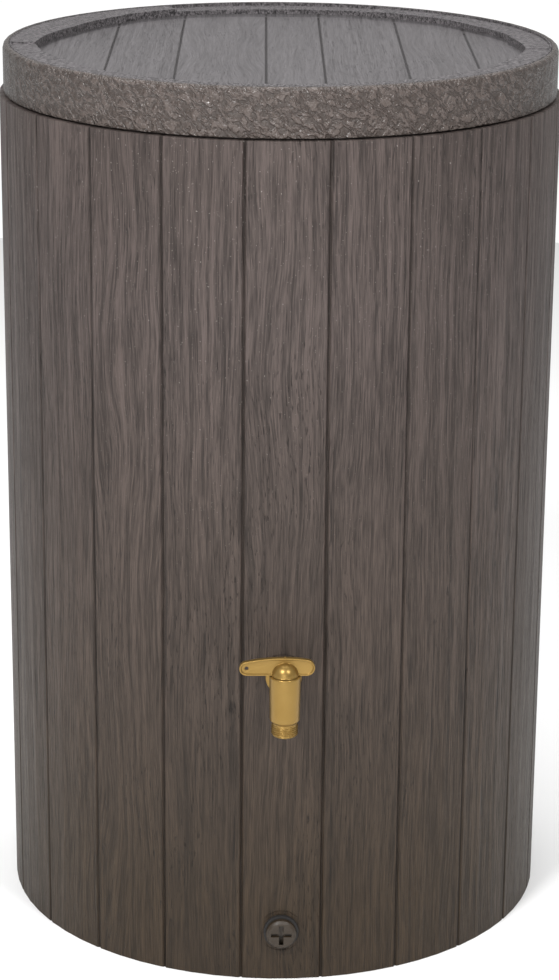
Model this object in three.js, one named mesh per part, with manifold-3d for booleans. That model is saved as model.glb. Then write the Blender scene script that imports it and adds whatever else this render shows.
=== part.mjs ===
// Rain barrel: a straight-sided round plastic tank moulded as a ring of staves, with a lift-off
// lid, a quarter-turn tap, a drain plug near the floor and a hose inlet high on the back.
// Millimetres, +Z up. The origin is the middle of the base, on the floor; the tap faces -Y.
import * as THREE from "three";
import { mergeVertices } from "three/addons/utils/BufferGeometryUtils.js";
import Module from "manifold-3d";

const wasm = await Module();
wasm.setup();

// ---- driving dimensions ----
const TOTAL_HEIGHT = 925;
const GAP = 0.3; // between pieces that touch
const ROUND = 64; // segments round the tank and lid
const SMALL_ROUND = 24; // segments round a fitting

// tank
const STAVES = 22;
const BODY_RADIUS = 290;
const GROOVE_WIDTH = 4.2;
const GROOVE_DEPTH = 2;
const WALL = 5;
const INNER_RADIUS = BODY_RADIUS - WALL;
const NECK_RADIUS = 279.5;
const SEAT_DEPTH = 0.8; // flat seat sunk into the round wall at each port
const SEAT_RADIUS = 22.5;
const FACE = BODY_RADIUS - SEAT_DEPTH; // centre line to a port's flat seat
const BASE_PAD_RADIUS = 70;
const BASE_RING_RADIUS = 258;
const BASE_RECESS = 12;
const BASE_RIBS = 12;

// lid
const LID_RADIUS = 286;
const BAND_HEIGHT = 48;
const LID_WALL = 4;
const RIM_HEIGHT = 11; // top of the rim above the deck
const DECK_DRUM_RADIUS = 256; // outside of the drum that carries the deck, under the rim
const LID_TURN = THREE.MathUtils.degToRad(-1.2); // the lid sits a touch off square to the tap
const DECK_GROOVES = [-175, -105, -15, 43, 126, 198]; // joints between the deck's boards
const DECK_GROOVE_WIDTH = 2.4;
const DECK_GROOVE_DEPTH = 1.6;
const LID_BOTTOM = TOTAL_HEIGHT - BAND_HEIGHT;
const DECK_TOP = TOTAL_HEIGHT - RIM_HEIGHT;
const DECK_UNDER = DECK_TOP - LID_WALL;
const RIM_UNDER = TOTAL_HEIGHT - 2 * LID_WALL;
const LID_RIB_DEPTH = 18;
const SHOULDER = LID_BOTTOM - 2; // the staves end just under the lid's band
const NECK_TOP = RIM_UNDER - GAP;
const RIM_BLOCK_OUTER = 277;
const RIM_CUT_INNER = 230; // well inside every rim block
// The rim's blocks, like the uneven ends of staves: where each starts in degrees from the front
// towards +X, its inner radius at its start and end, and how far its top is below the band's.
const RIM_BLOCKS = [
  { start: -86, inner: [252, 244], drop: 2.5 },
  { start: -62, inner: [244, 249], drop: 2.5 },
  { start: -40, inner: [249, 250], drop: 2.5 },
  { start: 0, inner: [250, 249], drop: 2.5 },
  { start: 42, inner: [249, 246], drop: 2.5 },
  { start: 64, inner: [246, 252], drop: 2.5 },
  { start: 84, inner: [252, 245], drop: 2 },
  { start: 103, inner: [250, 246], drop: 2.5 },
  { start: 122, inner: [246, 253], drop: 2.5 },
  { start: 139, inner: [250, 248], drop: 2.2 },
  { start: 156, inner: [252, 246], drop: 3.5 },
  { start: 180, inner: [246, 251], drop: 3.5 },
  { start: 207, inner: [251, 246], drop: 0.5 },
  { start: 224, inner: [242, 237], drop: 0.5 },
  { start: 248, inner: [237, 252], drop: 0.5 },
];

// wall ports
const TAP_HEIGHT = 337;
const DRAIN_HEIGHT = 55;
const INLET_HEIGHT = 800;
const HOLE_RADIUS = 13.6;
const TAIL_RADIUS = 13.1; // outside of the threaded tails
const TAIL_PITCH = 2.4;
const PORT_WALL = 7; // wall thickness at a port, with its flat pad inside
const PAD_RADIUS = 27;
const WASHER = 2.5;
const INNER_WASHER = 2;
const NUT = 9;
const NUT_RADIUS = 22; // to the hexagon's corners
const NUT_FACE = -(PORT_WALL + INNER_WASHER + 2 * GAP);
const TAIL_END = NUT_FACE - NUT - 3.5;

// tap: reach is outwards from its wall port, heights are from the port's middle
const SPOUT_REACH = 56;
const TAP_FLANGE_RADIUS = 18;
const TAP_FLANGE = 4;
const PIPE_RADIUS = 10.5;
const SPOUT_TOP_RADIUS = 15.4;
const SPOUT_LOW_RADIUS = 14.7;
const SHOULDER_RISE = 22;
const SPOUT_DROP = 26.5;
const NOZZLE_DROP = 40.5;
const THREAD_RADIUS = 13.2;
const THREAD_ROOT = 12.1;
const THREAD_PITCH = 2.2;
const THREADS = 5;
const OUTLET_BORE = 9;
const FLOW_BORE = 6.8;

// tap core
const CORE_BORE = 11.7;
const CORE_RADIUS = 11.4;
const CORE_TOP = 17.6;
const CORE_LOW = -19;
const CORE_HOLLOW = 8;
const O_RING_HEIGHTS = { upper: 10.6, lower: -11 };
const O_RING_RADIUS = 10.75; // to the middle of the section
const O_RING_SECTION = 0.85;
const CLIP_LOW = CORE_TOP + GAP;
const CLIP = 1.2;
const CLIP_RADIUS = 12.7;
const DRIVE = 4.2; // half width of the square that turns the core
const DRIVE_TOP = SHOULDER_RISE + 8;

// tap handle
const HUB_RADIUS = 13;
const HUB_RISE = 13.2;
const HANDLE_BASE = SHOULDER_RISE + GAP;
const LONG_ARM = { end: -44.9, low: 0.2, round: 7.2 };
const SHORT_ARM = { end: 29.2, low: 0, round: 8.3 };
const HANDLE_CROWN = 18.4;
const ARM_THICK = 5.6;
const ARM_RIM = 1.8;
const ARM_WEB = 2.2;
const LANYARD_HOLE = 1.8;

// drain plug
const DRAIN_GASKET_RADIUS = 18;
const DRAIN_GASKET = 4;
const DRAIN_HEAD_RADIUS = 15.6;
const DRAIN_HEAD = 7.7;
const SLOT_LENGTH = 21;
const SLOT_WIDTH = 4.2;
const SLOT_DEPTH = 4.5;

// inlet spigot
const INLET_FLANGE_RADIUS = 21;
const SPIGOT_RADIUS = 12.2;
const SPIGOT_REACH = 46;
const SPIGOT_BORE = 9.2;
const SPIGOT_BARBS = 4;
const BARB_PITCH = 6;

// ---- materials ----
const plastic = (color, roughness, metalness = 0) =>
  new THREE.MeshStandardMaterial({ color, roughness, metalness });
const STAVE_BROWN = plastic(0x5b5048, 0.55);
const LID_BROWN = plastic(0x5e544d, 0.5);
const GOLD = plastic(0xb08f4a, 0.4, 0.25);
const RUBBER = plastic(0x1c1b1a, 0.85);
const DARK_FITTING = plastic(0x2a2421, 0.55);
const PLUG_BROWN = plastic(0x5f564d, 0.5);
const CORE_BLACK = plastic(0x232323, 0.45);
const SPRING_STEEL = plastic(0xa9abad, 0.35, 0.9);

// ---- solids ----
// A closed geometry as a manifold-3d solid.
function solid(geometry) {
  const bare = geometry.index ? geometry.toNonIndexed() : geometry.clone();
  bare.deleteAttribute("normal");
  bare.deleteAttribute("uv");
  const merged = mergeVertices(bare, 1e-4);
  const kept = [];
  for (let i = 0; i < merged.index.count; i += 3) {
    const [a, b, c] = [0, 1, 2].map((k) => merged.index.getX(i + k));
    if (a !== b && b !== c && a !== c) kept.push(a, b, c); // drops the slivers at a lathe's poles
  }
  const made = (triangles) =>
    new wasm.Manifold(
      new wasm.Mesh({
        numProp: 3,
        vertProperties: new Float32Array(merged.attributes.position.array),
        triVerts: new Uint32Array(triangles),
      }),
    );
  const first = made(kept);
  return first.volume() > 0 ? first : made(kept.toReversed());
}

const joined = (...solids) => solids.reduce((a, b) => a.add(b));
const cut = (whole, ...tools) => tools.reduce((a, b) => a.subtract(b), whole);

// A solid of revolution about +Z from [radius, height] points that close on themselves or the axis.
function turned(profile, segments = ROUND) {
  const points = profile.map(([radius, height]) => new THREE.Vector2(radius, height));
  const offAxis = profile[0][0] > 0 || profile.at(-1)[0] > 0;
  if (offAxis) points.push(points[0].clone());
  return solid(new THREE.LatheGeometry(points, segments).rotateX(Math.PI / 2));
}

const disc = (radius, low, high, segments = ROUND) =>
  turned([[0, low], [radius, low], [radius, high], [0, high]], segments);
const ring = (inner, outer, low, high, segments = ROUND) =>
  turned([[inner, low], [outer, low], [outer, high], [inner, high]], segments);
const smallDisc = (radius, low, high) => disc(radius, low, high, SMALL_ROUND);
const smallRing = (inner, outer, low, high) => ring(inner, outer, low, high, SMALL_ROUND);

function prism(outline, low, high) {
  const shape = outline instanceof THREE.Shape ? outline : new THREE.Shape(outline);
  const options = { depth: high - low, bevelEnabled: false, curveSegments: 10 };
  return solid(new THREE.ExtrudeGeometry(shape, options).translate(0, 0, low));
}

function block(width, depth, height, x = 0, y = 0, z = 0) {
  return solid(new THREE.BoxGeometry(width, depth, height).translate(x, y, z));
}

// A point on a circle seen from above, by its angle from the front towards +X.
const around = (radius, angle) =>
  new THREE.Vector2(radius * Math.sin(angle), -radius * Math.cos(angle));

function mesh(name, made, material) {
  const { vertProperties, triVerts } = made.getMesh();
  const geometry = new THREE.BufferGeometry()
    .setAttribute("position", new THREE.BufferAttribute(vertProperties, 3))
    .setIndex(new THREE.BufferAttribute(triVerts, 1));
  geometry.computeVertexNormals();
  const node = new THREE.Mesh(geometry, material);
  node.name = name;
  return node;
}

// ---- tank ----
// The ring of staves, with a V groove cut where two of them meet.
function staveOutline() {
  const points = [];
  const half = Math.PI / STAVES;
  const edge = half - GROOVE_WIDTH / 2 / BODY_RADIUS;
  const facets = 3;
  for (let i = 0; i < STAVES; i++) {
    const middle = 2 * i * half;
    for (let k = 0; k <= facets; k++)
      points.push(around(BODY_RADIUS, middle - edge + (2 * edge * k) / facets));
    points.push(around(BODY_RADIUS - GROOVE_DEPTH, middle + half));
  }
  return points;
}

// The hollow inside, which follows the stiffening recess under the base.
function cavity() {
  return turned([
    [0, WALL],
    [BASE_PAD_RADIUS - WALL - 3, WALL],
    [BASE_PAD_RADIUS - WALL, BASE_RECESS + WALL],
    [BASE_RING_RADIUS + WALL, BASE_RECESS + WALL],
    [BASE_RING_RADIUS + WALL + 3, WALL],
    [INNER_RADIUS - 6, WALL],
    [INNER_RADIUS, WALL + 6],
    [INNER_RADIUS, SHOULDER - 14],
    [NECK_RADIUS - WALL, SHOULDER - 3],
    [NECK_RADIUS - WALL, TOTAL_HEIGHT],
    [0, TOTAL_HEIGHT],
  ]);
}

function baseRib(index) {
  const length = BASE_RING_RADIUS - BASE_PAD_RADIUS + 4;
  const rib = block(length, WALL, BASE_RECESS, BASE_PAD_RADIUS - 2 + length / 2, 0, BASE_RECESS / 2 + 1);
  return rib.rotate([0, 0, ((index + 0.5) * 360) / BASE_RIBS]);
}

function barrelShell() {
  const staves = prism(staveOutline(), 0, SHOULDER);
  const neck = disc(NECK_RADIUS, SHOULDER - WALL, NECK_TOP);
  const recess = turned([
    [BASE_PAD_RADIUS, -1],
    [BASE_RING_RADIUS, -1],
    [BASE_RING_RADIUS - 3, BASE_RECESS],
    [BASE_PAD_RADIUS + 3, BASE_RECESS],
  ]);
  const ribs = Array.from({ length: BASE_RIBS }, (_, index) => baseRib(index));
  const ports = [[TAP_HEIGHT, 1], [DRAIN_HEIGHT, 1], [INLET_HEIGHT, -1]];
  const toWall = (made, [height, side]) =>
    made.rotate([90 * side, 0, 0]).translate([0, -side * FACE, height]);
  const pads = ports.map((port) => toWall(smallDisc(PAD_RADIUS, -PORT_WALL, -2), port));
  const holes = ports.map((port) => toWall(smallDisc(HOLE_RADIUS, -20, 10), port));
  const seats = ports.map((port) => toWall(smallDisc(SEAT_RADIUS, 0, 10), port));
  const hollow = cut(joined(staves, neck), cavity(), recess);
  return mesh("barrel_shell", cut(joined(hollow, ...ribs, ...pads), ...holes, ...seats), STAVE_BROWN);
}

// ---- lid ----
// One edge of a rim block, from its start to its end. Trim shortens it by an angle at both ends.
function blockEdge(index, radiusAt, trim = 0) {
  const { start } = RIM_BLOCKS[index];
  const end = index + 1 < RIM_BLOCKS.length ? RIM_BLOCKS[index + 1].start : RIM_BLOCKS[0].start + 360;
  const steps = Math.ceil((end - start) / 6);
  return Array.from({ length: steps + 1 }, (_, k) => {
    const shift = k === 0 ? trim : k === steps ? -trim : 0;
    const angle = THREE.MathUtils.degToRad(start + ((end - start) * k) / steps + shift);
    return around(radiusAt(k / steps), angle);
  });
}

// The rim's inner outline, with the two ends of each step a little apart.
function rimOutline() {
  return RIM_BLOCKS.flatMap(({ inner: [from, to] }, index) =>
    blockEdge(index, (t) => from + (to - from) * t, 0.1),
  );
}

// What is cut off the top of a rim block to bring it down to its own height.
function blockTop(index) {
  const outer = blockEdge(index, () => RIM_BLOCK_OUTER, -0.02);
  const inner = blockEdge(index, () => RIM_CUT_INNER, -0.02);
  const outline = [...inner, ...outer.toReversed()];
  return prism(outline, TOTAL_HEIGHT - RIM_BLOCKS[index].drop, TOTAL_HEIGHT + 1);
}

// The lid's outside: a band with a rounded top edge and a fine groove between band and rim.
function lidOutside() {
  const edge = 5;
  const seam = LID_RADIUS - edge - 1;
  const profile = [[0, LID_BOTTOM], [LID_RADIUS, LID_BOTTOM]];
  for (let i = 0; i <= 4; i++) {
    const angle = (i * Math.PI) / 8;
    const radius = LID_RADIUS - edge + edge * Math.cos(angle);
    profile.push([radius, TOTAL_HEIGHT - edge + edge * Math.sin(angle)]);
  }
  profile.push([seam, TOTAL_HEIGHT], [seam - 1, TOTAL_HEIGHT - 1.5], [seam - 2, TOTAL_HEIGHT]);
  profile.push([0, TOTAL_HEIGHT]);
  return turned(profile);
}

function lidUnderside() {
  return turned([
    [0, LID_BOTTOM - 1],
    [LID_RADIUS - LID_WALL, LID_BOTTOM - 1],
    [LID_RADIUS - LID_WALL, RIM_UNDER - 3],
    [LID_RADIUS - LID_WALL - 1, RIM_UNDER],
    [DECK_DRUM_RADIUS, RIM_UNDER],
    [DECK_DRUM_RADIUS - 1, DECK_UNDER],
    [0, DECK_UNDER],
  ]);
}

function deckGroove(x) {
  const half = DECK_GROOVE_WIDTH / 2;
  const vee = [[-half, 0.01], [0, -DECK_GROOVE_DEPTH], [half, 0.01]];
  const length = 2 * Math.sqrt(236 ** 2 - x ** 2);
  const tool = prism(vee.map(([u, v]) => new THREE.Vector2(u, v)), -length / 2, length / 2);
  return tool.rotate([90, 0, 0]).translate([x, 0, DECK_TOP]);
}

function lid() {
  const recess = prism(rimOutline(), DECK_TOP, TOTAL_HEIGHT + 1);
  const tops = RIM_BLOCKS.map((_, index) => blockTop(index));
  const grooves = DECK_GROOVES.map(deckGroove);
  const ribMiddle = DECK_UNDER + 0.5 - LID_RIB_DEPTH / 2;
  const ribs = [0, 45, 90, 135].map((angle) =>
    block(2 * DECK_DRUM_RADIUS - 8, 3, LID_RIB_DEPTH, 0, 0, ribMiddle).rotate([0, 0, angle]),
  );
  const hub = smallRing(24, 28, DECK_UNDER - LID_RIB_DEPTH, DECK_UNDER + 0.5);
  const locator = ring(268, 271, DECK_UNDER - LID_RIB_DEPTH, RIM_UNDER + 0.5);
  const shell = cut(lidOutside(), recess, ...tops, lidUnderside(), ...grooves);
  const node = mesh("lid", joined(shell, hub, locator, ...ribs), LID_BROWN);
  node.rotation.z = LID_TURN;
  return node;
}

// ---- fittings ----
// Pieces of a fitting are drawn with +Z outwards from the wall and +Y up, then set on their port.
function onWall(height, side, ...nodes) {
  const frame = new THREE.Group();
  frame.rotation.x = Math.PI / 2;
  frame.position.set(0, -FACE, height);
  frame.add(...nodes);
  const turn = new THREE.Group();
  turn.rotation.z = side > 0 ? 0 : Math.PI;
  turn.add(frame);
  return turn;
}

const outerWasher = (name, radius, thickness) =>
  mesh(name, smallRing(HOLE_RADIUS + 0.2, radius, GAP, GAP + thickness), RUBBER);

function innerWasher(name) {
  const face = -PORT_WALL - GAP;
  return mesh(name, smallRing(HOLE_RADIUS + 0.2, 21, face - INNER_WASHER, face), RUBBER);
}

function backnut(name) {
  const hexagon = disc(NUT_RADIUS, NUT_FACE - NUT, NUT_FACE, 6);
  const collar = smallDisc(NUT_RADIUS - 1, NUT_FACE - 2.5, NUT_FACE);
  const bore = smallDisc(TAIL_RADIUS + GAP, NUT_FACE - NUT - 1, NUT_FACE + 1);
  return mesh(name, cut(joined(hexagon, collar), bore), DARK_FITTING);
}

// Thread crests going up from a height, as profile points.
function crests(outer, root, low, pitch, turns) {
  const points = [];
  for (let i = 0; i < turns; i++) {
    const start = low + i * pitch;
    points.push([root, start], [outer, start + 0.4 * pitch], [outer, start + 0.6 * pitch]);
  }
  points.push([root, low + turns * pitch]);
  return points;
}

// The threaded tail that goes in through the wall, up to the fitting's flange.
function tail(high) {
  const root = TAIL_RADIUS - 1;
  const threads = Math.floor((-PORT_WALL - TAIL_END - 1) / TAIL_PITCH);
  const thread = crests(TAIL_RADIUS, root, TAIL_END + 1, TAIL_PITCH, threads);
  return turned([[0, TAIL_END], [root, TAIL_END], ...thread, [root, high], [0, high]], SMALL_ROUND);
}

// Turns a solid drawn about +Z into one about +Y on the spout's axis.
const onSpout = (made) => made.rotate([-90, 0, 0]).translate([0, 0, SPOUT_REACH]);

function tapBody() {
  const flangeFace = WASHER + 2 * GAP;
  const flange = smallDisc(TAP_FLANGE_RADIUS, flangeFace, flangeFace + TAP_FLANGE);
  const pipe = smallDisc(PIPE_RADIUS, flangeFace + TAP_FLANGE - 1, SPOUT_REACH);
  const spout = turned([
    [0, -NOZZLE_DROP],
    [THREAD_ROOT - 0.4, -NOZZLE_DROP],
    ...crests(THREAD_RADIUS, THREAD_ROOT, -NOZZLE_DROP + 1, THREAD_PITCH, THREADS),
    [THREAD_ROOT, -SPOUT_DROP - 1],
    [SPOUT_LOW_RADIUS - 2.2, -SPOUT_DROP],
    [SPOUT_LOW_RADIUS, -SPOUT_DROP + 2.5],
    [SPOUT_TOP_RADIUS, SHOULDER_RISE - 1],
    [SPOUT_TOP_RADIUS - 1, SHOULDER_RISE],
    [0, SHOULDER_RISE],
  ], SMALL_ROUND);
  const bore = turned([
    [0, -NOZZLE_DROP - 1],
    [OUTLET_BORE, -NOZZLE_DROP - 1],
    [OUTLET_BORE, CORE_LOW - GAP],
    [CORE_BORE, CORE_LOW - GAP],
    [CORE_BORE, CLIP_LOW - GAP],
    [CLIP_RADIUS + GAP, CLIP_LOW - GAP],
    [CLIP_RADIUS + GAP, CLIP_LOW + CLIP + GAP],
    [CORE_BORE, CLIP_LOW + CLIP + GAP],
    [CORE_BORE, SHOULDER_RISE + 1],
    [0, SHOULDER_RISE + 1],
  ], SMALL_ROUND);
  const flow = smallDisc(FLOW_BORE, TAIL_END - 1, SPOUT_REACH);
  const whole = joined(tail(flangeFace + 1), flange, pipe, onSpout(spout));
  return mesh("tap_body", cut(whole, onSpout(bore), flow), GOLD);
}

// The turning core: a cup open downwards with one window, shut by turning the window aside.
function valveCore() {
  const body = smallDisc(CORE_RADIUS, CORE_LOW, CORE_TOP);
  const drive = block(2 * DRIVE, 2 * DRIVE, DRIVE_TOP - CORE_TOP + 1, 0, 0, (DRIVE_TOP + CORE_TOP - 1) / 2);
  const hollow = smallDisc(CORE_HOLLOW, CORE_LOW - 1, 8.6);
  const window = smallDisc(FLOW_BORE, 0, 20).rotate([0, 90, 0]);
  const inner = O_RING_RADIUS - O_RING_SECTION - 0.2;
  const grooves = Object.values(O_RING_HEIGHTS).map((height) =>
    smallRing(inner, CORE_RADIUS + 1, height - 1.2, height + 1.2),
  );
  return mesh("valve_core", onSpout(cut(joined(body, drive), hollow, window, ...grooves)), CORE_BLACK);
}

function oRing(name, height) {
  const section = Array.from({ length: 6 }, (_, i) => {
    const angle = (i * Math.PI) / 3;
    return [O_RING_RADIUS + O_RING_SECTION * Math.cos(angle), height + O_RING_SECTION * Math.sin(angle)];
  });
  return mesh(name, onSpout(turned(section, SMALL_ROUND)), RUBBER);
}

function coreClip() {
  const full = smallRing(9, CLIP_RADIUS, CLIP_LOW, CLIP_LOW + CLIP);
  return mesh("core_clip", onSpout(cut(full, block(9, 20, 4, 0, 13, CLIP_LOW))), SPRING_STEEL);
}

// The handle's outline: a long arm, a short arm and a low crown between them.
function armOutline(inset) {
  const long = LONG_ARM.round - inset;
  const short = SHORT_ARM.round - inset;
  const longX = LONG_ARM.end + LONG_ARM.round;
  const shortX = SHORT_ARM.end - SHORT_ARM.round;
  const longY = LONG_ARM.low + LONG_ARM.round;
  const shortY = SHORT_ARM.low + SHORT_ARM.round;
  const shape = new THREE.Shape();
  shape.moveTo(longX, longY - long);
  shape.lineTo(shortX, shortY - short);
  shape.absarc(shortX, shortY, short, -Math.PI / 2, Math.PI / 2, false);
  shape.quadraticCurveTo(shortX / 2, HANDLE_CROWN - inset, 0, HANDLE_CROWN - inset);
  shape.quadraticCurveTo(longX / 2, HANDLE_CROWN - inset, longX, longY + long);
  shape.absarc(longX, longY, long, Math.PI / 2, (3 * Math.PI) / 2, false);
  return shape;
}

function hub() {
  const profile = [[0, 0], [HUB_RADIUS, 0]];
  for (let i = 1; i < 7; i++) {
    const angle = (i * Math.PI) / 14;
    profile.push([HUB_RADIUS * Math.cos(angle), HUB_RISE * Math.sin(angle)]);
  }
  profile.push([0, HUB_RISE]);
  return turned(profile, SMALL_ROUND).rotate([-90, 0, 0]);
}

function tapHandle() {
  const plate = prism(armOutline(0), -ARM_THICK / 2, ARM_THICK / 2);
  const pockets = [prism(armOutline(ARM_RIM), ARM_WEB / 2, 9), prism(armOutline(ARM_RIM), -9, -ARM_WEB / 2)];
  const longX = LONG_ARM.end + LONG_ARM.round;
  const longY = LONG_ARM.low + LONG_ARM.round;
  const hole = smallDisc(LANYARD_HOLE, -9, 9).translate([longX, longY, 0]);
  const nub = disc(0.8, 0, 1.6, 10).rotate([-90, 0, 0]).translate([0, HANDLE_CROWN - 0.6, 0]);
  const socketHalf = DRIVE + 0.2;
  const socketTop = DRIVE_TOP + 0.2 - HANDLE_BASE;
  const socket = block(2 * socketHalf, socketTop + 1, 2 * socketHalf, 0, (socketTop - 1) / 2, 0);
  const handle = cut(joined(cut(plate, ...pockets, hole), hub(), nub), socket);
  return mesh("tap_handle", handle.translate([0, HANDLE_BASE, SPOUT_REACH]), GOLD);
}

function drainPlug() {
  const low = DRAIN_GASKET + 2 * GAP;
  const head = turned([
    [0, low],
    [DRAIN_HEAD_RADIUS, low],
    [DRAIN_HEAD_RADIUS, low + DRAIN_HEAD - 2.5],
    [DRAIN_HEAD_RADIUS - 2, low + DRAIN_HEAD],
    [0, low + DRAIN_HEAD],
  ], SMALL_ROUND);
  const slotFloor = low + DRAIN_HEAD - SLOT_DEPTH / 2 + 0.5;
  const slots = [
    block(SLOT_LENGTH, SLOT_WIDTH, SLOT_DEPTH + 1, 0, 0, slotFloor),
    block(SLOT_WIDTH, SLOT_LENGTH, SLOT_DEPTH + 1, 0, 0, slotFloor),
  ];
  return mesh("drain_plug", cut(joined(head, tail(low + 1)), ...slots), PLUG_BROWN);
}

function inletSpigot() {
  const face = WASHER + 2 * GAP;
  const flange = smallDisc(INLET_FLANGE_RADIUS, face, face + 4);
  const barbs = [];
  const first = SPIGOT_REACH - SPIGOT_BARBS * BARB_PITCH - 1;
  for (let i = 0; i < SPIGOT_BARBS; i++) {
    barbs.push([SPIGOT_RADIUS + 1.2, first + i * BARB_PITCH], [SPIGOT_RADIUS, first + (i + 1) * BARB_PITCH - 0.5]);
  }
  const spigot = turned([
    [0, face],
    [SPIGOT_RADIUS, face],
    [SPIGOT_RADIUS, first - 0.5],
    ...barbs,
    [SPIGOT_RADIUS, SPIGOT_REACH],
    [0, SPIGOT_REACH],
  ], SMALL_ROUND);
  const bore = smallDisc(SPIGOT_BORE, TAIL_END - 1, SPIGOT_REACH + 1);
  return mesh("inlet_spigot", cut(joined(tail(face + 1), flange, spigot), bore), DARK_FITTING);
}

// ---- assembly ----
const group = new THREE.Group();
group.add(barrelShell(), lid());
group.add(
  onWall(
    TAP_HEIGHT,
    1,
    tapBody(),
    valveCore(),
    oRing("core_o_ring_upper", O_RING_HEIGHTS.upper),
    oRing("core_o_ring_lower", O_RING_HEIGHTS.lower),
    coreClip(),
    tapHandle(),
    outerWasher("tap_gasket", TAP_FLANGE_RADIUS, WASHER),
    innerWasher("tap_inner_washer"),
    backnut("tap_backnut"),
  ),
);
group.add(
  onWall(
    DRAIN_HEIGHT,
    1,
    drainPlug(),
    outerWasher("drain_gasket", DRAIN_GASKET_RADIUS, DRAIN_GASKET),
    innerWasher("drain_inner_washer"),
    backnut("drain_nut"),
  ),
);
group.add(
  onWall(
    INLET_HEIGHT,
    -1,
    inletSpigot(),
    outerWasher("inlet_gasket", INLET_FLANGE_RADIUS, WASHER),
    innerWasher("inlet_inner_washer"),
    backnut("inlet_backnut"),
  ),
);

export default group;
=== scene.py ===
"""A rain barrel of staves with a lid, tap and drain plug, finished for a studio picture.

Metres, in the frame's own axes: +Z up, the tap facing -Y, the floor at z = 0.
"""
import math

import bmesh
import bpy
from mathutils import Matrix, Vector


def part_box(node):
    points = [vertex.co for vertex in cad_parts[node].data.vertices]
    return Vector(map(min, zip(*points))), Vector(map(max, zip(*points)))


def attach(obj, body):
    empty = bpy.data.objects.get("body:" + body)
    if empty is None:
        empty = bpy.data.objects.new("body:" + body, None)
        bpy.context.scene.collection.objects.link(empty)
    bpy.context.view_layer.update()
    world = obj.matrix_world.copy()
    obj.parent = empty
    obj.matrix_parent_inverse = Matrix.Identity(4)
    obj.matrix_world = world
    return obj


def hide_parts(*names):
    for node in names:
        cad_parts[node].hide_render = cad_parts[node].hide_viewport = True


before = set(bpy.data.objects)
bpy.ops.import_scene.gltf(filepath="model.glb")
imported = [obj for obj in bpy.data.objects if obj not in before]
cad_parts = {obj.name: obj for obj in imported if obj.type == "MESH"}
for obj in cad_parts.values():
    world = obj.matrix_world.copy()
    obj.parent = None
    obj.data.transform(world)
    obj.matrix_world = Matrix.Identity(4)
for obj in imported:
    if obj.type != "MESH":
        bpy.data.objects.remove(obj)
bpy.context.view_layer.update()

# ---- driving sizes ----
STAVES = 22
STAVE_WIDTH = 2 * math.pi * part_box("barrel_shell")[1][0] / STAVES
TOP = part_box("lid")[1][2]
LID_RADIUS = 0.286
LID_TURN = math.radians(-1.2)
BAND_SEAM = 0.2795  # radius where the hammered band meets the rim
DECK_EDGE = 0.0085  # below the top: what is lower and inside the band is deck
DECK_JOINTS = (-0.175, -0.105, -0.015, 0.043, 0.126, 0.198)

TAP_THREAD_PITCH = 0.0022
TAP_THREAD_ROOT = 0.0121
OUTLET_BORE = 0.009
CORE_BORE = 0.0118
PIPE = 0.0105
# each arm of the handle: where its round end is centred, its radius, and how high it starts
LONG_ARM = (-0.0377, 0.0072, 0.0002)
SHORT_ARM = (0.0209, 0.0083, 0)
HANDLE_CROWN = 0.0184
HANDLE_RIM = 0.0018
HANDLE_THICK = 0.0028  # half of it, at the rim
HANDLE_WEB = 0.0011  # half of it, between the rims
LANYARD_HOLE = 0.0018
HUB = 0.013
HUB_RISE = 0.0132
PLUG_HEAD = 0.0156
PLUG_THREAD_PITCH = 0.0024
PLUG_THREAD_ROOT = 0.0121


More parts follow.
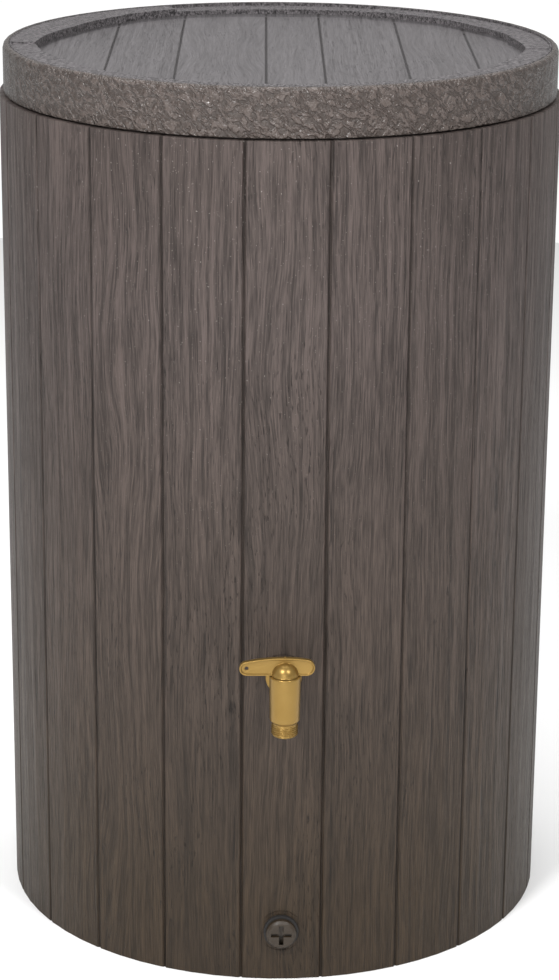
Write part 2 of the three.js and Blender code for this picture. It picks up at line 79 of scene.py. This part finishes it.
# ---- node helpers ----
class Nodes:
    """Short calls for building one material's nodes."""

    def __init__(self, name, **shader):
        self.material = bpy.data.materials.new(name)
        self.material.use_nodes = True
        self.tree = self.material.node_tree
        self.shader = self.tree.nodes["Principled BSDF"]
        for socket, value in shader.items():
            self.shader.inputs[socket.replace("_", " ")].default_value = value

    def add(self, kind, **settings):
        node = self.tree.nodes.new(kind)
        for key, value in settings.items():
            setattr(node, key, value)
        return node

    def feed(self, socket, value):
        if isinstance(value, bpy.types.NodeSocket):
            self.tree.links.new(value, socket)
        else:
            socket.default_value = value

    def math(self, operation, *values):
        node = self.add("ShaderNodeMath", operation=operation)
        for socket, value in zip(node.inputs, values):
            self.feed(socket, value)
        return node.outputs[0]

    def vector(self, x=0.0, y=0.0, z=0.0):
        node = self.add("ShaderNodeCombineXYZ")
        for socket, value in zip(node.inputs, (x, y, z)):
            self.feed(socket, value)
        return node.outputs[0]

    def place(self, turn=0.0):
        """The point's x, y and z in the frame, turned about +Z."""
        point = self.add("ShaderNodeTexCoord").outputs["Object"]
        if turn:
            rotate = self.add("ShaderNodeVectorRotate", rotation_type="Z_AXIS")
            self.feed(rotate.inputs["Vector"], point)
            rotate.inputs["Angle"].default_value = turn
            point = rotate.outputs[0]
        split = self.add("ShaderNodeSeparateXYZ")
        self.feed(split.inputs[0], point)
        return tuple(split.outputs)

    def noise(self, vector, scale, detail=2.0, roughness=0.5, distortion=0.0):
        node = self.add("ShaderNodeTexNoise")
        self.feed(node.inputs["Vector"], vector)
        node.inputs["Scale"].default_value = scale
        node.inputs["Detail"].default_value = detail
        node.inputs["Roughness"].default_value = roughness
        node.inputs["Distortion"].default_value = distortion
        return node.outputs[0]

    def remap(self, value, low, high, to_low=0.0, to_high=1.0, smooth=False):
        node = self.add("ShaderNodeMapRange", interpolation_type="SMOOTHSTEP" if smooth else "LINEAR")
        for socket, given in zip(node.inputs, (value, low, high, to_low, to_high)):
            self.feed(socket, given)
        return node.outputs[0]

    def mix(self, factor, a, b):
        node = self.add("ShaderNodeMix", data_type="RGBA")
        for socket, value in ((node.inputs[0], factor), (node.inputs[6], a), (node.inputs[7], b)):
            self.feed(socket, value)
        return node.outputs[2]

    def blend(self, factor, a, b):
        node = self.add("ShaderNodeMix", data_type="FLOAT")
        for socket, value in zip(node.inputs[:1] + node.inputs[2:4], (factor, a, b)):
            self.feed(socket, value)
        return node.outputs[0]

    def bump(self, height, distance, strength=1.0, normal=None):
        node = self.add("ShaderNodeBump")
        node.inputs["Strength"].default_value = strength
        node.inputs["Distance"].default_value = distance
        self.feed(node.inputs["Height"], height)
        if normal:
            self.feed(node.inputs["Normal"], normal)
        return node.outputs[0]

    def rounded(self, radius):
        node = self.add("ShaderNodeBevel", samples=6)
        node.inputs["Radius"].default_value = radius
        return node.outputs[0]

    def set(self, **sockets):
        for name, value in sockets.items():
            self.feed(self.shader.inputs[name.replace("_", " ")], value)
        return self.material


def paint(node, material):
    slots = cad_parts[node].data.materials
    for index in range(len(slots)):
        slots[index] = material


# ---- materials ----
def grain(nodes, across, along, seed):
    """Moulded wood grain on one board: the relief's height, the dark pores and the soft figure."""
    char = nodes.add("ShaderNodeTexWhiteNoise", noise_dimensions="1D")
    nodes.feed(char.inputs["W"], seed)
    straight = nodes.remap(char.outputs["Value"], 0.25, 0.9, 0.25, 1.0)

    def field(per_across, per_along, detail=2.0, roughness=0.5, bend=None):
        shifted = nodes.math("ADD", across, bend) if bend else across
        place = nodes.vector(
            nodes.math("MULTIPLY", shifted, per_across), nodes.math("MULTIPLY", along, per_along), seed
        )
        return nodes.noise(place, 1.0, detail, roughness)

    drift = field(11.0, 3.2, 2.0)
    calm = nodes.remap(straight, 0.2, 1.0, 0.05, 0.008)
    bend = nodes.math("MULTIPLY", nodes.math("SUBTRACT", drift, 0.5), calm)
    figure = field(210.0, 4.0, 3.0, 0.6, bend)
    fine = field(820.0, 26.0, 3.0, 0.7, bend)
    lines = nodes.remap(field(300.0, 5.0, 3.0, 0.65, bend), 0.54, 0.7)
    lines = nodes.math("MULTIPLY", lines, straight)
    breaks = nodes.remap(field(120.0, 30.0, 2.0), 0.4, 0.55)
    lines = nodes.math("MULTIPLY", lines, breaks)
    dashes = nodes.remap(field(620.0, 75.0, 2.0, 0.6, bend), 0.6, 0.72)
    patches = nodes.remap(field(20.0, 6.0, 2.0), 0.4, 0.62)
    dashes = nodes.math("MULTIPLY", dashes, patches)
    pores = nodes.math("MAXIMUM", lines, nodes.math("MULTIPLY", dashes, 0.9))
    height = nodes.math("MULTIPLY_ADD", figure, 0.45, nodes.math("MULTIPLY", fine, 0.7))
    height = nodes.math("SUBTRACT", height, nodes.math("MULTIPLY", pores, 0.75))
    return height, pores, nodes.math("MULTIPLY_ADD", fine, 0.6, nodes.math("MULTIPLY", figure, 0.4))


def stave_material():
    nodes = Nodes("stave_plastic", Roughness=0.5, IOR=1.46, Specular_IOR_Level=0.3)
    x, y, z = nodes.place()
    angle = nodes.math("ARCTAN2", x, nodes.math("MULTIPLY", y, -1.0))
    turns = nodes.math("MULTIPLY_ADD", angle, STAVES / (2 * math.pi), 0.5 + STAVES)
    stave = nodes.math("FLOOR", turns)
    across = nodes.math("MULTIPLY", nodes.math("SUBTRACT", nodes.math("FRACT", turns), 0.5), STAVE_WIDTH)
    seed = nodes.math("MULTIPLY", stave, 7.31)
    height, pores, figure = grain(nodes, across, z, seed)
    wobble = nodes.noise(nodes.vector(0.0, nodes.math("MULTIPLY", z, 55.0), seed), 1.0, 3.0, 0.6)
    edge = nodes.math("MULTIPLY_ADD", wobble, 0.0016, STAVE_WIDTH / 2 - 0.0036)
    past_edge = nodes.math("SUBTRACT", nodes.math("ABSOLUTE", across), edge)
    groove = nodes.remap(past_edge, 0.0, 0.0028, smooth=True)
    tone = nodes.noise(nodes.vector(seed, 0.0, nodes.math("MULTIPLY", z, 1.5)), 1.0, 1.0)
    lustre = nodes.remap(figure, 0.4, 0.6)
    # darker and browner towards the bottom: partly the plastic's own colour drift, partly painted shade for
    # the lower wall getting less light from above
    upper = nodes.mix(lustre, (0.034, 0.026, 0.0235, 1), (0.106, 0.082, 0.075, 1))
    lower = nodes.mix(lustre, (0.018, 0.0115, 0.006, 1), (0.05, 0.032, 0.0175, 1))
    colour = nodes.mix(nodes.remap(z, 0.08, 0.7), lower, upper)
    colour = nodes.mix(nodes.remap(tone, 0.3, 0.7, 0.0, 0.25), colour, (0.02, 0.015, 0.012, 1))
    colour = nodes.mix(nodes.math("MULTIPLY", pores, 0.8), colour, (0.008, 0.006, 0.005, 1))
    # darkened in the grooves between staves: painted shade in the groove, on top of its modelled relief
    colour = nodes.mix(nodes.math("MULTIPLY", groove, 0.6), colour, (0.012, 0.009, 0.007, 1))
    # tiny light specks, only on the upper half of the wall: painted glints where light from above would
    # catch the grain
    glint_across = nodes.math("MULTIPLY", across, 700.0)
    glint_place = nodes.vector(glint_across, nodes.math("MULTIPLY", z, 420.0), seed)
    painted_glints = nodes.remap(nodes.noise(glint_place, 1.0, 1.0), 0.73, 0.8)
    painted_glints = nodes.math("MULTIPLY", painted_glints, nodes.remap(z, 0.35, 0.85))
    colour = nodes.mix(nodes.math("MULTIPLY", painted_glints, 0.6), colour, (0.42, 0.39, 0.36, 1))
    rough = nodes.remap(figure, 0.35, 0.65, 0.6, 0.42)
    height = nodes.math("SUBTRACT", height, nodes.math("MULTIPLY", groove, 0.5))
    normal = nodes.bump(height, 0.0011, 0.9, nodes.rounded(0.0015))
    return nodes.set(Base_Color=colour, Roughness=rough, Normal=normal)


def lid_material():
    nodes = Nodes("lid_plastic", Roughness=0.45, IOR=1.5, Specular_IOR_Level=0.45)
    x, y, z = nodes.place(-LID_TURN)
    radius = nodes.math("SQRT", nodes.math("MULTIPLY_ADD", x, x, nodes.math("MULTIPLY", y, y)))
    arc = nodes.math("MULTIPLY", nodes.math("ARCTAN2", x, nodes.math("MULTIPLY", y, -1.0)), LID_RADIUS)
    # the hammered band
    slant = nodes.math("MULTIPLY_ADD", z, 0.7, arc)
    warp = nodes.noise(nodes.vector(slant, z, 0.0), 70.0, 2.0, 0.5)
    place = nodes.vector(
        nodes.math("MULTIPLY_ADD", warp, 0.02, slant), nodes.math("MULTIPLY_ADD", warp, 0.014, z), radius
    )
    lumps = nodes.noise(place, 165.0, 2.0, 0.5, 0.1)
    pits = nodes.noise(place, 300.0, 2.0, 0.6, 0.2)
    raised = nodes.remap(lumps, 0.4, 0.62, smooth=True)
    hammered = nodes.math("ADD", raised, nodes.math("MULTIPLY", pits, 1.2))
    calm_side = nodes.remap(nodes.math("ABSOLUTE", arc), 0.2, 0.4, 1.0, 0.3)
    hammered = nodes.math("MULTIPLY", hammered, calm_side)
    # the rim's rough end grain
    rim_place = nodes.vector(
        nodes.math("MULTIPLY", arc, 480.0),
        nodes.math("MULTIPLY", radius, 200.0),
        nodes.math("MULTIPLY", z, 320.0),
    )
    strokes = nodes.noise(rim_place, 1.0, 3.0, 0.7, 0.6)
    # the deck's boards, running front to back
    board, joint = 0.0, 1.0
    for place_x in DECK_JOINTS:
        board = nodes.math("ADD", board, nodes.math("GREATER_THAN", x, place_x))
        joint = nodes.math("MINIMUM", joint, nodes.math("ABSOLUTE", nodes.math("SUBTRACT", x, place_x)))
    seed = nodes.math("MULTIPLY_ADD", board, 5.17, 3.0)
    height, pores, figure = grain(nodes, x, y, seed)
    cross_place = nodes.vector(nodes.math("MULTIPLY", x, 60.0), nodes.math("MULTIPLY", y, 420.0), seed)
    height = nodes.math("MULTIPLY_ADD", nodes.noise(cross_place, 1.0, 3.0, 0.6), 0.3, height)
    lustre = nodes.remap(figure, 0.35, 0.65)
    deck_colour = nodes.mix(lustre, (0.055, 0.05, 0.052, 1), (0.113, 0.105, 0.109, 1))
    deck_colour = nodes.mix(nodes.math("MULTIPLY", pores, 0.4), deck_colour, (0.025, 0.021, 0.021, 1))
    gap = nodes.remap(joint, 0.0008, 0.002, 1.0, 0.0)
    deck_colour = nodes.mix(nodes.math("MULTIPLY", gap, 0.7), deck_colour, (0.016, 0.013, 0.013, 1))
    rim_colour = nodes.mix(nodes.remap(strokes, 0.4, 0.6), (0.012, 0.01, 0.011, 1), (0.16, 0.146, 0.152, 1))
    # the band's colour follows its hammered relief, darker in the dents and lighter on the lumps: painted
    # shade and painted highlight; where calm_side flattens the relief at the sides, the band is darker
    # overall too
    painted_relief_shade = nodes.remap(hammered, 0.2, 1.3)
    band_colour = nodes.mix(painted_relief_shade, (0.03, 0.022, 0.018, 1), (0.088, 0.069, 0.061, 1))
    on_deck = nodes.math("LESS_THAN", z, TOP - DECK_EDGE)
    on_band = nodes.math("GREATER_THAN", radius, BAND_SEAM)
    colour = nodes.mix(on_band, nodes.mix(on_deck, rim_colour, deck_colour), band_colour)
    relief = nodes.blend(on_deck, nodes.math("MULTIPLY", strokes, 2.2), height)
    relief = nodes.blend(on_band, relief, nodes.math("MULTIPLY", hammered, 1.5))
    rough = nodes.blend(on_band, 0.62, nodes.remap(pits, 0.4, 0.6, 0.36, 0.2))
    normal = nodes.bump(relief, 0.0011, 1.0, nodes.rounded(0.0015))
    return nodes.set(Base_Color=colour, Roughness=rough, Normal=normal)


def gold_material():
    nodes = Nodes("gold_tap", Metallic=0.75, Roughness=0.3, IOR=1.5)
    point = nodes.vector(*nodes.place())
    cloud = nodes.noise(point, 45.0, 3.0, 0.5)
    speck = nodes.noise(point, 1400.0, 2.0, 0.5)
    colour = nodes.mix(cloud, (0.235, 0.142, 0.034, 1), (0.3, 0.19, 0.056, 1))
    rough = nodes.remap(cloud, 0.35, 0.65, 0.31, 0.38)
    normal = nodes.bump(speck, 0.00006, 0.5, nodes.rounded(0.0006))
    return nodes.set(Base_Color=colour, Roughness=rough, Normal=normal)


def moulded_material(name, dark, light, roughness, scale=700.0, depth=0.00012):
    """Plain moulded plastic or rubber with a fine sparked texture and slight colour drift."""
    nodes = Nodes(name, Roughness=roughness, IOR=1.46)
    point = nodes.vector(*nodes.place())
    drift = nodes.noise(point, 60.0, 3.0, 0.55)
    spark = nodes.noise(point, scale, 3.0, 0.6)
    rough = nodes.remap(drift, 0.3, 0.7, roughness - 0.06, roughness + 0.08)
    normal = nodes.bump(spark, depth, 0.8, nodes.rounded(0.0005))
    return nodes.set(Base_Color=nodes.mix(drift, dark, light), Roughness=rough, Normal=normal)


# ---- pieces ----
def piece(name, bm, body, material, node, sharp=35):
    """A finished piece of a body, standing for a CAD node."""
    bmesh.ops.recalc_face_normals(bm, faces=bm.faces)
    data = bpy.data.meshes.new(name)
    bm.to_mesh(data)
    bm.free()
    data.polygons.foreach_set("use_smooth", [True] * len(data.polygons))
    data.set_sharp_from_angle(angle=math.radians(sharp))
    data.materials.append(material)
    made = bpy.data.objects.new(name, data)
    bpy.context.scene.collection.objects.link(made)
    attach(made, body)
    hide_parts(node)
    return made


def turned(bm, profile, place, segments=72, ridge=None):
    """Adds a solid of revolution; place maps (across, up, outwards) on its axis into the frame."""
    rings = []
    for radius, height in profile:
        if radius == 0:
            rings.append([bm.verts.new(place(0, 0, height))])
            continue
        loop = []
        for k in range(segments):
            angle = 2 * math.pi * k / segments
            full = radius + (ridge(angle, height, radius) if ridge else 0.0)
            loop.append(bm.verts.new(place(full * math.cos(angle), full * math.sin(angle), height)))
        rings.append(loop)
    for low, high in zip(rings, rings[1:]):
        for k in range(segments):
            a, b = low[k % len(low)], low[(k + 1) % len(low)]
            c, d = high[(k + 1) % len(high)], high[k % len(high)]
            corners = [a] + [v for v in (b, c, d) if v is not a]
            corners = list(dict.fromkeys(corners))
            if len(corners) > 2:
                bm.faces.new(corners)


def rounded_steps(corners, radius, steps=3):
    """A profile with each inner corner rounded off."""
    out = [corners[0]]
    for before, at, after in zip(corners, corners[1:], corners[2:]):
        at_v, b_v, a_v = Vector(at), Vector(before), Vector(after)
        reach = min(radius, (at_v - b_v).length * 0.45, (a_v - at_v).length * 0.45)
        start = at_v + (b_v - at_v).normalized() * reach
        end = at_v + (a_v - at_v).normalized() * reach
        for k in range(steps + 1):
            t = k / steps
            point = start * (1 - t) ** 2 + at_v * 2 * t * (1 - t) + end * t ** 2
            out.append((point.x, point.y))
    return out + [corners[-1]]


def cut_and_rounded(bm, tools, edge):
    """The mesh with other meshes cut out of it, then its sharp edges rounded."""
    def as_object(mesh, name):
        data = bpy.data.meshes.new(name)
        bmesh.ops.recalc_face_normals(mesh, faces=mesh.faces)
        mesh.to_mesh(data)
        mesh.free()
        made = bpy.data.objects.new(name, data)
        bpy.context.scene.collection.objects.link(made)
        return made

    whole = as_object(bm, "work")
    helpers = [as_object(tool, "tool") for tool in tools]
    for helper in helpers:
        modifier = whole.modifiers.new("cut", "BOOLEAN")
        modifier.operation = "DIFFERENCE"
        modifier.object = helper
        modifier.solver = "EXACT"
    modifier = whole.modifiers.new("round", "BEVEL")
    modifier.width = edge
    modifier.segments = 3
    modifier.angle_limit = math.radians(40)
    bpy.context.view_layer.update()
    evaluated = whole.evaluated_get(bpy.context.evaluated_depsgraph_get())
    result = bmesh.new()
    result.from_mesh(evaluated.to_mesh())
    evaluated.to_mesh_clear()
    for made in (whole, *helpers):
        data = made.data
        bpy.data.objects.remove(made)
        bpy.data.meshes.remove(data)
    return result


def tap_body_piece(gold):
    """The tap's casting: flange, pipe, spout with its shoulder, and a real helical hose thread."""
    low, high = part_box("tap_body")
    core_low, core_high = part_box("valve_core")
    spout_y = (core_low[1] + core_high[1]) / 2
    shoulder = high[2]
    gasket_low, gasket_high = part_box("tap_gasket")
    pipe_z = (gasket_low[2] + gasket_high[2]) / 2
    flange = (gasket_high[0] - gasket_low[0]) / 2
    upright = lambda x, y, z: (x, spout_y + y, z)
    thread_low = low[2] + 0.0008
    thread_high = low[2] + 0.0122
    bore_step = core_low[2] - 0.0005

    def thread(angle, height, radius):
        if radius < 0.0115 or not thread_low < height < thread_high:
            return 0.0
        phase = (height / TAP_THREAD_PITCH - angle / (2 * math.pi)) % 1.0
        ends = min(1.0, (height - thread_low) / 0.001, (thread_high - height) / 0.001)
        return 0.0011 * ends * max(0.0, 1 - abs(phase - 0.5) * 3.2) ** 0.7

    profile = [(OUTLET_BORE, bore_step), (OUTLET_BORE, low[2]), (0.0114, low[2])]
    profile.append((TAP_THREAD_ROOT, thread_low))
    steps = 60
    thread_step = (thread_high - thread_low) / steps
    profile += [(TAP_THREAD_ROOT, thread_low + thread_step * k) for k in range(1, steps + 1)]
    profile += rounded_steps(
        [
            (TAP_THREAD_ROOT, thread_high + 0.0004),
            (TAP_THREAD_ROOT, low[2] + 0.0132),
            (0.0125, low[2] + 0.014),
            (0.0147, low[2] + 0.0165),
            (0.01535, shoulder - 0.0008),
            (0.0148, shoulder),
            (CORE_BORE, shoulder),
        ],
        0.0005,
    )
    profile += [(CORE_BORE, bore_step), (OUTLET_BORE, bore_step)]
    spout = bmesh.new()
    turned(spout, profile, upright, 96, thread)
    flange_back = gasket_low[1] - 0.0003
    outwards = lambda x, y, z: (x, flange_back - z, pipe_z + y)
    root = flange_back - spout_y
    pipe_profile = rounded_steps(
        [(0, 0), (flange, 0), (flange, 0.004), (0.0125, 0.0052), (PIPE, 0.010), (PIPE, root - 0.012)], 0.001
    )
    turned(spout, pipe_profile + [(0, root - 0.012)], outwards, 64)
    tail = rounded_steps([(0, -0.0315), (0.0128, -0.0315), (0.0128, 0.0), (0, 0.0)], 0.0006)
    turned(spout, tail, outwards, 48)
    return piece("tap_casting", spout, "barrel", gold, "tap_body", 40)


def arm_outline(inset, base):
    """The handle's edge seen from the front: a long arm, a short arm and a low crown between them."""
    points = []
    for (centre, radius, low), turn in ((LONG_ARM, math.pi / 2), (SHORT_ARM, -math.pi / 2)):
        for k in range(13):
            angle = turn + math.pi * k / 12
            reach = radius - inset
            points.append((centre + reach * math.cos(angle), base + low + radius + reach * math.sin(angle)))
    crown = base + HANDLE_CROWN - inset
    left, right = points[0], points[-1]
    for k in range(1, 16):
        t = k / 16
        x = right[0] + (left[0] - right[0]) * t
        rise = 1 - abs(x / (right[0] if x > 0 else left[0])) ** 2.2
        side = right[1] if x > 0 else left[1]
        points.append((x, side + (crown - side) * rise))
    return points


def tap_handle_piece(gold):
    """The T handle: a rimmed plate with recessed faces, a lanyard hole, a domed hub and a gate nub."""
    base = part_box("tap_handle")[0][2]
    core_low, core_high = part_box("valve_core")
    spout_y = (core_low[1] + core_high[1]) / 2
    bm = bmesh.new()
    loops = []
    sections = [(HANDLE_RIM, -HANDLE_WEB), (HANDLE_RIM, -HANDLE_THICK), (0, -HANDLE_THICK)]
    sections += [(inset, -y) for inset, y in reversed(sections)]
    for inset, y in sections:
        loops.append([bm.verts.new((x, spout_y + y, z)) for x, z in arm_outline(inset, base)])
    for a, b in zip(loops, loops[1:]):
        for k in range(len(a)):
            n = (k + 1) % len(a)
            bm.faces.new((a[k], a[n], b[n], b[k]))
    bm.faces.new(loops[0][::-1])
    bm.faces.new(loops[-1])
    hole = bmesh.new()
    outwards = lambda x, y, z: (LONG_ARM[0] + x, spout_y + z, base + LONG_ARM[1] + LONG_ARM[2] + y)
    turned(hole, [(0, -0.01), (LANYARD_HOLE, -0.01), (LANYARD_HOLE, 0.01), (0, 0.01)], outwards, 32)
    bm = cut_and_rounded(bm, [hole], 0.0007)
    upright = lambda x, y, z: (x, spout_y + y, base + z)
    dome = [(0, 0), (0.0134, 0), (0.0134, 0.0006), (0.0131, 0.0009)]
    for k in range(1, 18):
        angle = math.pi * k / 36
        dome.append((HUB * math.cos(angle), 0.0009 + (HUB_RISE - 0.0009) * math.sin(angle)))
    turned(bm, dome + [(0, HUB_RISE)], upright, 72)
    nub = rounded_steps([(0, 0.017), (0.0009, 0.017), (0.0008, 0.0193), (0, 0.0193)], 0.0003)
    turned(bm, nub, upright, 20)
    return piece("tap_t_handle", bm, "tap_turner", gold, "tap_handle", 40)


def drain_plug_piece(material):
    """The drain plug: a bevelled round head with a cross slot, and its threaded shank."""
    low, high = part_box("drain_plug")
    middle_z, face = (low[2] + high[2]) / 2, low[1]
    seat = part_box("drain_gasket")[0][1] - 0.0003
    outwards = lambda x, y, z: (x, face + z, middle_z + y)
    head = bmesh.new()
    deep = seat - face
    profile = rounded_steps(
        [(0, 0), (0.0128, 0), (0.01345, 0.0005), (PLUG_HEAD, 0.0025), (PLUG_HEAD, deep), (0, deep)], 0.0005
    )
    turned(head, profile, outwards, 80)
    slots = []
    for wide, tall in ((0.0105, 0.0019), (0.0023, 0.0104)):
        slot = bmesh.new()
        shape = Matrix.LocRotScale((0, face, middle_z), None, (wide, 0.0045, tall))
        bmesh.ops.create_cube(slot, size=2, matrix=shape)
        slots.append(slot)
    head = cut_and_rounded(head, slots, 0.0003)
    length = high[1] - seat

    def thread(angle, height, radius):
        if radius < 0.0115:
            return 0.0
        phase = (height / PLUG_THREAD_PITCH + angle / (2 * math.pi)) % 1.0
        return 0.0009 * max(0.0, 1 - abs(phase - 0.5) * 3.0) ** 0.8

    inwards = lambda x, y, z: (x, seat - 0.0005 + z, middle_z + y)
    shank = [(0, 0)] + [(PLUG_THREAD_ROOT, length * k / 60) for k in range(60)]
    turned(head, shank + [(0.0112, length), (0, length)], inwards, 56, thread)
    return piece("drain_plug_turned", head, "drain_plug", material, "drain_plug", 38)


# ---- studio ----
def photo_camera():
    distance, height = 2.8855, 1.3713
    azimuth, pitch, roll, aim_right = (math.radians(a) for a in (-1.57, 17.93, 0.5, 0.054))
    data = bpy.data.cameras.new("photo_angle")
    data.lens = 102.65
    camera = bpy.data.objects.new("photo_angle", data)
    bpy.context.scene.collection.objects.link(camera)
    turn = Matrix.Rotation(azimuth - aim_right, 4, "Z") @ Matrix.Rotation(math.pi / 2 - pitch, 4, "X")
    place = Vector((distance * math.sin(azimuth), -distance * math.cos(azimuth), height))
    camera.matrix_world = Matrix.Translation(place) @ turn @ Matrix.Rotation(roll, 4, "Z")
    bpy.context.scene.camera = camera


def softbox(name, place, target, size, power):
    data = bpy.data.lights.new(name, "AREA")
    data.shape = "RECTANGLE"
    data.size, data.size_y = size
    data.energy = power
    light = bpy.data.objects.new(name, data)
    bpy.context.scene.collection.objects.link(light)
    aim = (Vector(target) - Vector(place)).to_track_quat("-Z", "Y")
    light.matrix_world = Matrix.Translation(place) @ aim.to_matrix().to_4x4()


def studio():
    bpy.context.scene.view_settings.view_transform = "Standard"
    middle = (0, 0, TOP / 2)
    softbox("key_left", (-1.5, -2.6, 3.2), middle, (0.8, 0.9), 105)
    softbox("fill_right", (1.6, -2.5, 3.0), middle, (0.7, 0.8), 54)
    softbox("front_wash", (-0.8, -4.2, 1.0), middle, (2.4, 1.6), 40)
    softbox("overhead", (0, 0.6, 3.0), (0, 0, TOP), (2.0, 2.0), 45)
    world = bpy.data.worlds.new("pale_room")
    world.use_nodes = True
    tree = world.node_tree
    room = tree.nodes["Background"]
    room.inputs["Color"].default_value = (1, 1, 1, 1)
    room.inputs["Strength"].default_value = 0.5
    backdrop = tree.nodes.new("ShaderNodeBackground")
    backdrop.inputs["Strength"].default_value = 1.05
    backdrop.inputs["Color"].default_value = (1, 1, 1, 1)
    seen = tree.nodes.new("ShaderNodeLightPath")
    choose = tree.nodes.new("ShaderNodeMixShader")
    tree.links.new(seen.outputs["Is Camera Ray"], choose.inputs[0])
    tree.links.new(room.outputs[0], choose.inputs[1])
    tree.links.new(backdrop.outputs[0], choose.inputs[2])
    tree.links.new(choose.outputs[0], tree.nodes["World Output"].inputs["Surface"])
    bpy.context.scene.world = world
    bm = bmesh.new()
    bmesh.ops.create_circle(bm, cap_ends=True, segments=96, radius=3.2)
    data = bpy.data.meshes.new("floor")
    bm.to_mesh(data)
    bm.free()
    floor = bpy.data.objects.new("floor", data)
    bpy.context.scene.collection.objects.link(floor)
    white = Nodes("pale_floor", Roughness=0.9)
    data.materials.append(white.set(Base_Color=(0.97, 0.97, 0.97, 1)))


photo_camera()
studio()

paint("barrel_shell", stave_material())
paint("lid", lid_material())
gold = gold_material()
tap_body_piece(gold)
tap_handle_piece(gold)
rubber = moulded_material("seal_rubber", (0.009, 0.008, 0.008, 1), (0.02, 0.018, 0.017, 1), 0.7)
for seal in ("tap_gasket", "tap_inner_washer", "drain_gasket", "drain_inner_washer", "inlet_gasket",
             "inlet_inner_washer", "core_o_ring_upper", "core_o_ring_lower"):
    paint(seal, rubber)
dark = moulded_material("dark_fitting", (0.018, 0.014, 0.012, 1), (0.034, 0.028, 0.024, 1), 0.5)
for fitting in ("tap_backnut", "drain_nut", "inlet_backnut", "inlet_spigot"):
    paint(fitting, dark)
plug_tones = (0.02, 0.0125, 0.006, 1), (0.036, 0.024, 0.014, 1)
drain_plug_piece(moulded_material("plug_plastic", *plug_tones, 0.42, 900.0, 0.0002))
core = moulded_material("core_plastic", (0.012, 0.012, 0.012, 1), (0.022, 0.022, 0.022, 1), 0.4)
paint("valve_core", core)
paint("core_clip", moulded_material("spring_steel", (0.32, 0.33, 0.34, 1), (0.45, 0.46, 0.47, 1), 0.35))
